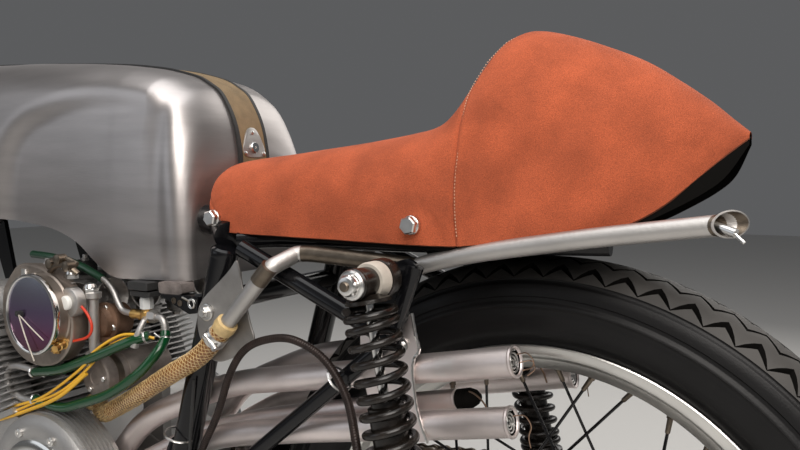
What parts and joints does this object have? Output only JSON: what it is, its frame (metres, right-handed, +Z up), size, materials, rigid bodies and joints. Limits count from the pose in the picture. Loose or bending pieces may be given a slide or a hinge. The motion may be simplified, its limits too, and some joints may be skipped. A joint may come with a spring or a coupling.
{
  "type": "cafe racer motorcycle",
  "caption": "A lean road-racing motorcycle with wire wheels, a long bare-metal tank, a humped suede seat, an air-cooled engine and stacked thin exhaust pipes, on its centre stand.",
  "frame": {"origin": "on the floor, midway along and across the machine", "axes": "+X is forward, +Y is the rider's left, +Z is up"},
  "size_m": [2.014, 0.6918, 0.9803],
  "materials": {
    "tyre_rubber": "matte",
    "polished_aluminium": "polished",
    "satin_aluminium": "satin, lightly brushed",
    "cast_aluminium": "sand cast, matt",
    "frame_steel": "gloss black enamel",
    "black_steel": "gloss black",
    "exhaust_steel": "bare, heat marked",
    "plated_steel": "bright",
    "chain_steel": "oiled",
    "suede": "matt rust-brown suede",
    "webbing": "woven olive webbing",
    "black_rubber": "matte",
    "amber_hose": "braided, satin",
    "green_hose": "satin",
    "cable_cover": "brown-black spiral armour"
  },
  "bodies": {
    "frame": {"drive_chain": "chain_steel", "front_sprocket": "chain_steel", "rear_brake": "cast_aluminium", "rear_axle": "plated_steel", "swinging_arm": "frame_steel", "frame_bolts": "plated_steel", "shock_dampers": "plated_steel", "shock_springs": "black_steel", "frame_spine": "frame_steel", "frame_posts": "frame_steel", "frame_rear": "frame_steel", "exhaust_left": "exhaust_steel", "exhaust_right": "exhaust_steel", "crankcase": "cast_aluminium", "cylinders": "cast_aluminium", "cylinder_head": "cast_aluminium", "carburettors": "cast_aluminium", "carburettor_cover": "polished_aluminium", "generator": "cast_aluminium", "left_case": "cast_aluminium", "right_case": "cast_aluminium", "fuel_tank": "satin_aluminium", "seat": "suede", "tank_strap": "webbing", "strap_plate": "satin_aluminium", "fuel_tap": "plated_steel", "tank_pad": "black_rubber", "tank_bracket": "black_steel", "heel_plates": "satin_aluminium", "breather_tube": "plated_steel", "breather_hose": "amber_hose", "brake_cable": "cable_cover", "fuel_hoses": "green_hose", "footrests": "black_rubber", "foot_levers": "plated_steel"},
    "rear_wheel": {"rear_tyre": "tyre_rubber", "rear_rim": "polished_aluminium", "rear_hub": "cast_aluminium", "rear_sprocket": "chain_steel"},
    "front_wheel": {"front_tyre": "tyre_rubber", "front_rim": "polished_aluminium", "front_hub": "cast_aluminium"},
    "steering": {"yokes": "satin_aluminium", "fork_stanchions": "plated_steel", "fork_sliders": "satin_aluminium", "front_brakes": "cast_aluminium", "front_axle": "plated_steel", "handlebars": "black_steel", "tachometer": "black_steel"},
    "centre_stand": {"centre_stand": "frame_steel"}
  },
  "joints": [
    {"name": "steering", "type": "hinge", "parent": "frame", "child": "steering", "pos_m": [0.38224, 0, 0.8], "axis": [-0.454, 0, 0.891], "range_deg": [-25, 25]},
    {"name": "rear_wheel_spin", "type": "hinge", "parent": "frame", "child": "rear_wheel", "pos_m": [-0.683, 0, 0.336], "axis": [0, 1, 0], "continuous": true},
    {"name": "front_wheel_spin", "type": "hinge", "parent": "steering", "child": "front_wheel", "pos_m": [0.697, 0, 0.31], "axis": [0, 1, 0], "continuous": true},
    {"name": "stand_fold", "type": "hinge", "parent": "frame", "child": "centre_stand", "pos_m": [-0.263, 0, 0.254], "axis": [0, 1, 0], "range_deg": [0, 95]}
  ]
}
